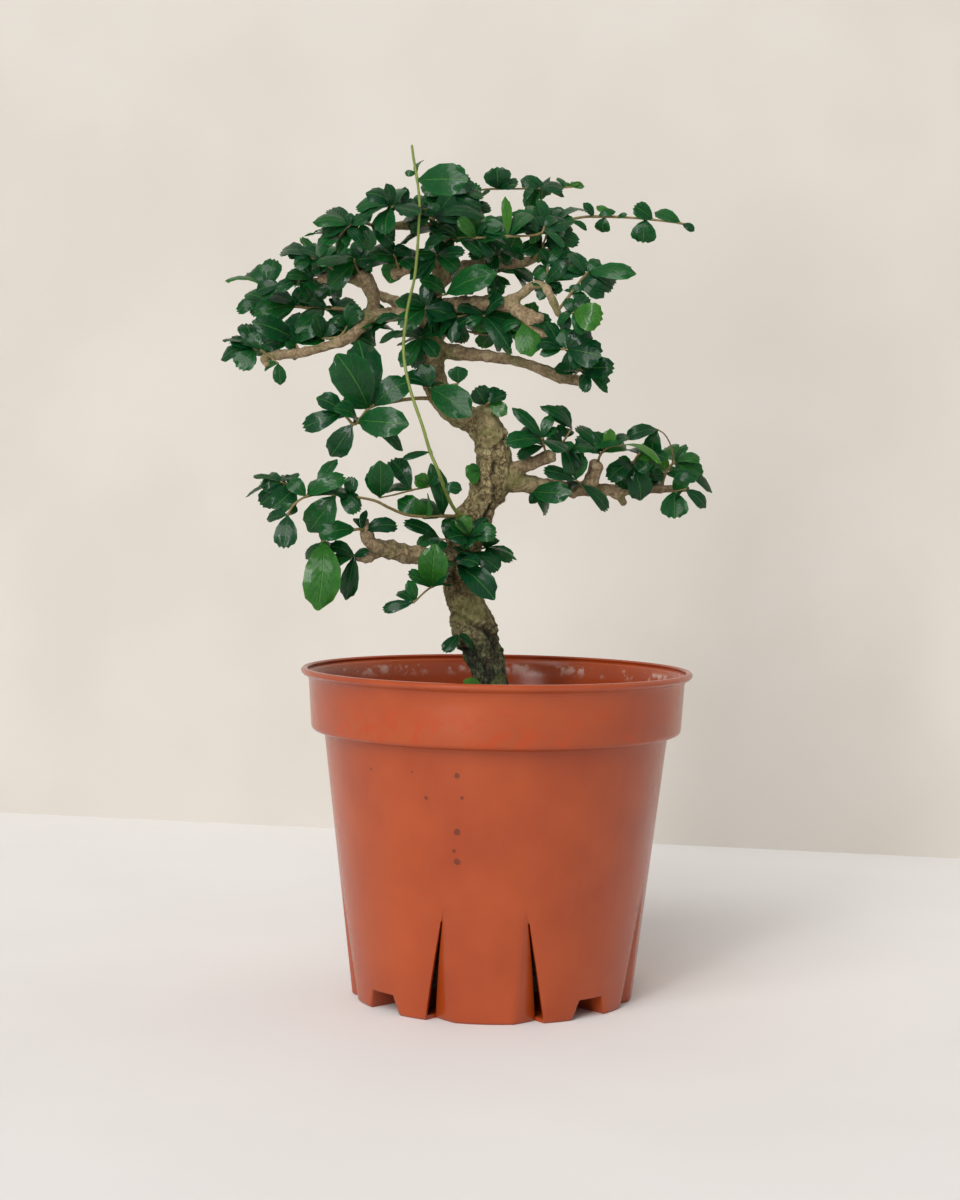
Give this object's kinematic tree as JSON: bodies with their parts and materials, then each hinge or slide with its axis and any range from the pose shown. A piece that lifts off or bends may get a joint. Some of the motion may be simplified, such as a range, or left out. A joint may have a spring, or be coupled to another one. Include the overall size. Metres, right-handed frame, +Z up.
{
  "type": "bonsai tree in a plant pot",
  "caption": "Small leafy bonsai tree with a curved bark trunk and sparse glossy green pads, growing from soil in a round fluted terracotta-coloured plastic nursery pot.",
  "frame": {"origin": "centre of the flat pad in the middle of the pot's base, on the floor", "axes": "+Z up along the pot's axis, +X to the right as seen from the front, -Y towards the front, where the long lower left pad and the green shoot are nearest"},
  "size_m": [0.2091, 0.16, 0.3415],
  "materials": {
    "pot": "satin",
    "soil": "matte",
    "bark": "matte",
    "shoot": "satin",
    "leaf": "glossy"
  },
  "bodies": {
    "root": {"pot": "pot", "soil": "soil", "trunk_and_branches": "bark", "water_shoot": "shoot", "crown_peak": "leaf", "crown_long_twig": "leaf", "crown_green_shoot": "leaf", "left_high_tip": "leaf", "left_mid_tip": "leaf", "left_riser_tip": "leaf", "left_inner": "leaf", "left_far_top": "leaf", "left_low_back": "leaf", "left_low_front": "leaf", "mid_left": "leaf", "stub_tuft": "leaf", "centre_left": "leaf", "pale_tuft": "leaf", "inner_tuft": "leaf", "right_crown": "leaf", "long_right_twig": "leaf", "right_green_stem": "leaf", "right_spur": "leaf", "right_round": "leaf", "right_drop_tip": "leaf", "under_limb_mid": "leaf", "mid_right_tip": "leaf", "right_inner": "leaf", "right_middle": "leaf", "right_low_leaf": "leaf", "right_hook_low": "leaf", "right_hook_top": "leaf", "right_pad": "leaf", "right_pad_end": "leaf", "arching_stalk": "leaf", "right_limb_end": "leaf", "lower_left_low": "leaf", "lower_left_snag_tuft": "leaf", "lower_left_high": "leaf", "lower_left_tip": "leaf", "lower_left_fork": "leaf", "trunk_right_tuft": "leaf", "trunk_dark_leaf": "leaf", "trunk_low_twig": "leaf", "trunk_bud": "leaf", "trunk_side_leaf": "leaf", "base_sprout": "leaf", "crown_left_high": "leaf", "left_tip": "leaf", "left_forks": "leaf", "centre_fan": "leaf", "front_gloss": "leaf", "under_limb": "leaf", "trunk_tuft": "leaf", "back_right_pad": "leaf", "back_right_low": "leaf", "back_left_pad": "leaf", "back_left_low": "leaf", "back_crown": "leaf", "back_right_limb": "leaf"}
  },
  "joints": []
}
